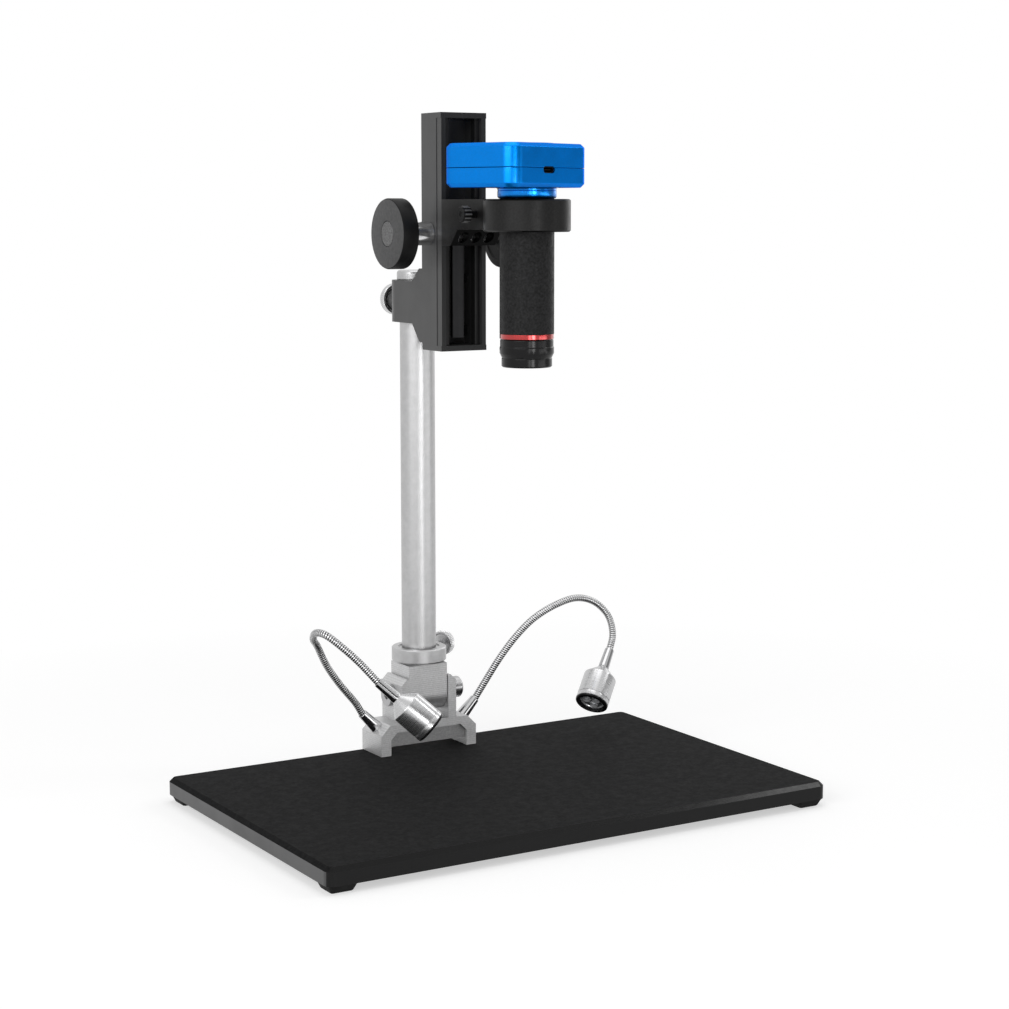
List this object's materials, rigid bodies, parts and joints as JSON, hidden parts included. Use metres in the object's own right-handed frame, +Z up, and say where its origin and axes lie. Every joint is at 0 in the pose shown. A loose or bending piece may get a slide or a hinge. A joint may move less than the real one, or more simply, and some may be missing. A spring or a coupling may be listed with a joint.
{
  "type": "camera microscope on focusing stand",
  "caption": "Camera microscope on a tilting pillar stand: rack-and-pinion focus rail, clamped lens barrel with camera housing, flat stage plate and gooseneck lamps.",
  "frame": {"origin": "centre of the base plate's footprint, on the surface that its rubber feet stand on", "axes": "+Z up, -Y towards the user and the plate's long front edge, +X to the user's right"},
  "size_m": [0.308, 0.2153, 0.38],
  "materials": {
    "base_black": "satin black anodised plate",
    "rubber": "matt black rubber",
    "bracket_silver": "machined, clear anodised",
    "pillar_silver": "satin clear anodised tube",
    "steel": "bright steel",
    "chrome": "bright plated metal",
    "rail_black": "matt black anodised",
    "arm_black": "matt black powder coat",
    "plastic_black": "black moulded plastic",
    "barrel_black": "wrinkle black coat",
    "accent_red": "red anodised",
    "glass": "coated optical glass",
    "lamp_lens": "clear moulded collimator",
    "camera_blue": "satin blue anodised",
    "board_green": "solder-masked circuit board",
    "sensor_black": "packaged chip"
  },
  "bodies": {
    "base": {"base_plate": "base_black", "rubber_feet": "rubber", "stand_bracket": "bracket_silver", "wiring_cover": "bracket_silver", "bracket_screws": "steel", "tilt_bolt": "steel", "tilt_nut": "steel", "left_neck_socket": "chrome", "right_neck_socket": "chrome", "left_gooseneck": "chrome", "right_gooseneck": "chrome"},
    "left_lamp": {"left_lamp_ferrule": "chrome", "left_lamp_head": "chrome", "left_lamp_rim": "plastic_black", "left_lamp_lens": "lamp_lens", "left_lamp_board": "board_green"},
    "right_lamp": {"right_lamp_ferrule": "chrome", "right_lamp_head": "chrome", "right_lamp_rim": "plastic_black", "right_lamp_lens": "lamp_lens", "right_lamp_board": "board_green"},
    "tilt_head": {"tilt_block": "bracket_silver", "pillar_collar": "bracket_silver"},
    "collar_screw": {"collar_thumbscrew": "chrome"},
    "column": {"pillar": "pillar_silver", "pillar_cap": "pillar_silver"},
    "rail": {"rail_clamp": "rail_black", "rail_housing": "rail_black", "rail_top_cap": "rail_black", "rail_bottom_cap": "rail_black", "rail_screws": "steel", "cap_screws": "steel", "guide_strips": "plastic_black", "shaft_sleeves": "chrome"},
    "clamp_screw": {"clamp_thumbscrew": "chrome"},
    "focus_drive": {"focus_shaft": "steel", "pinion": "steel", "left_focus_knob": "plastic_black", "right_focus_knob": "plastic_black", "knob_discs": "plastic_black"},
    "carriage": {"carriage_slider": "arm_black", "focus_rack": "steel", "lens_arm": "arm_black", "arm_screws": "steel"},
    "ring_screw": {"pinch_screw": "plastic_black"},
    "scope": {"lens_barrel": "barrel_black", "accent_ring": "accent_red", "rear_lens": "glass", "mount_ring": "camera_blue", "camera_lower_shell": "camera_blue", "camera_upper_shell": "camera_blue", "camera_board": "board_green", "image_sensor": "sensor_black", "data_socket": "steel"},
    "nose": {"nose_ring": "barrel_black", "front_lens": "glass"}
  },
  "joints": [
    {"name": "stand_tilt", "type": "hinge", "parent": "base", "child": "tilt_head", "pos_m": [0, 0.0867, 0.047], "axis": [1, 0, 0], "range_deg": [-20, 20]},
    {"name": "column_swivel", "type": "hinge", "parent": "tilt_head", "child": "column", "pos_m": [0, 0.0867, 0.0703], "axis": [0, 0, 1], "continuous": true},
    {"name": "collar_screw_turn", "type": "hinge", "parent": "tilt_head", "child": "collar_screw", "pos_m": [0, 0.0867, 0.07128], "axis": [0.866, 0.5, 0], "continuous": true},
    {"name": "clamp_slide", "type": "slide", "parent": "column", "child": "rail", "axis": [0, 0, 1], "range_m": [-0.11, 0]},
    {"name": "clamp_screw_turn", "type": "hinge", "parent": "rail", "child": "clamp_screw", "pos_m": [0, 0.1104, 0.27585], "axis": [0, 1, 0], "continuous": true},
    {"name": "focus_slide", "type": "slide", "parent": "rail", "child": "carriage", "axis": [0, 0, 1], "range_m": [-0.003, 0.042]},
    {"name": "focus_turn", "type": "hinge", "parent": "rail", "child": "focus_drive", "pos_m": [0, 0.0464, 0.3144], "axis": [-1, 0, 0], "range_deg": [-43.1, 601.8]},
    {"name": "ring_screw_turn", "type": "hinge", "parent": "carriage", "child": "ring_screw", "pos_m": [0, -0.0039, 0.325], "axis": [-1, 0, 0], "continuous": true},
    {"name": "scope_turn", "type": "hinge", "parent": "carriage", "child": "scope", "pos_m": [0, -0.0325, 0.324], "axis": [0, 0, 1], "continuous": true},
    {"name": "nose_turn", "type": "hinge", "parent": "scope", "child": "nose", "pos_m": [0, -0.0325, 0.2525], "axis": [0, 0, 1], "range_deg": [-150, 150]},
    {"name": "left_lamp_swing", "type": "hinge", "parent": "base", "child": "left_lamp", "pos_m": [-0.03786, 0.0867, 0.03826], "axis": [0, 0, 1], "range_deg": [-25, 25], "deforming": ["left_gooseneck"]},
    {"name": "right_lamp_swing", "type": "hinge", "parent": "base", "child": "right_lamp", "pos_m": [0.03786, 0.0867, 0.03826], "axis": [0, 0, 1], "range_deg": [-25, 25], "deforming": ["right_gooseneck"]}
  ],
  "couplings": [
    {"joint": "focus_turn", "follows": "focus_slide", "rad_per_m": 250}
  ]
}
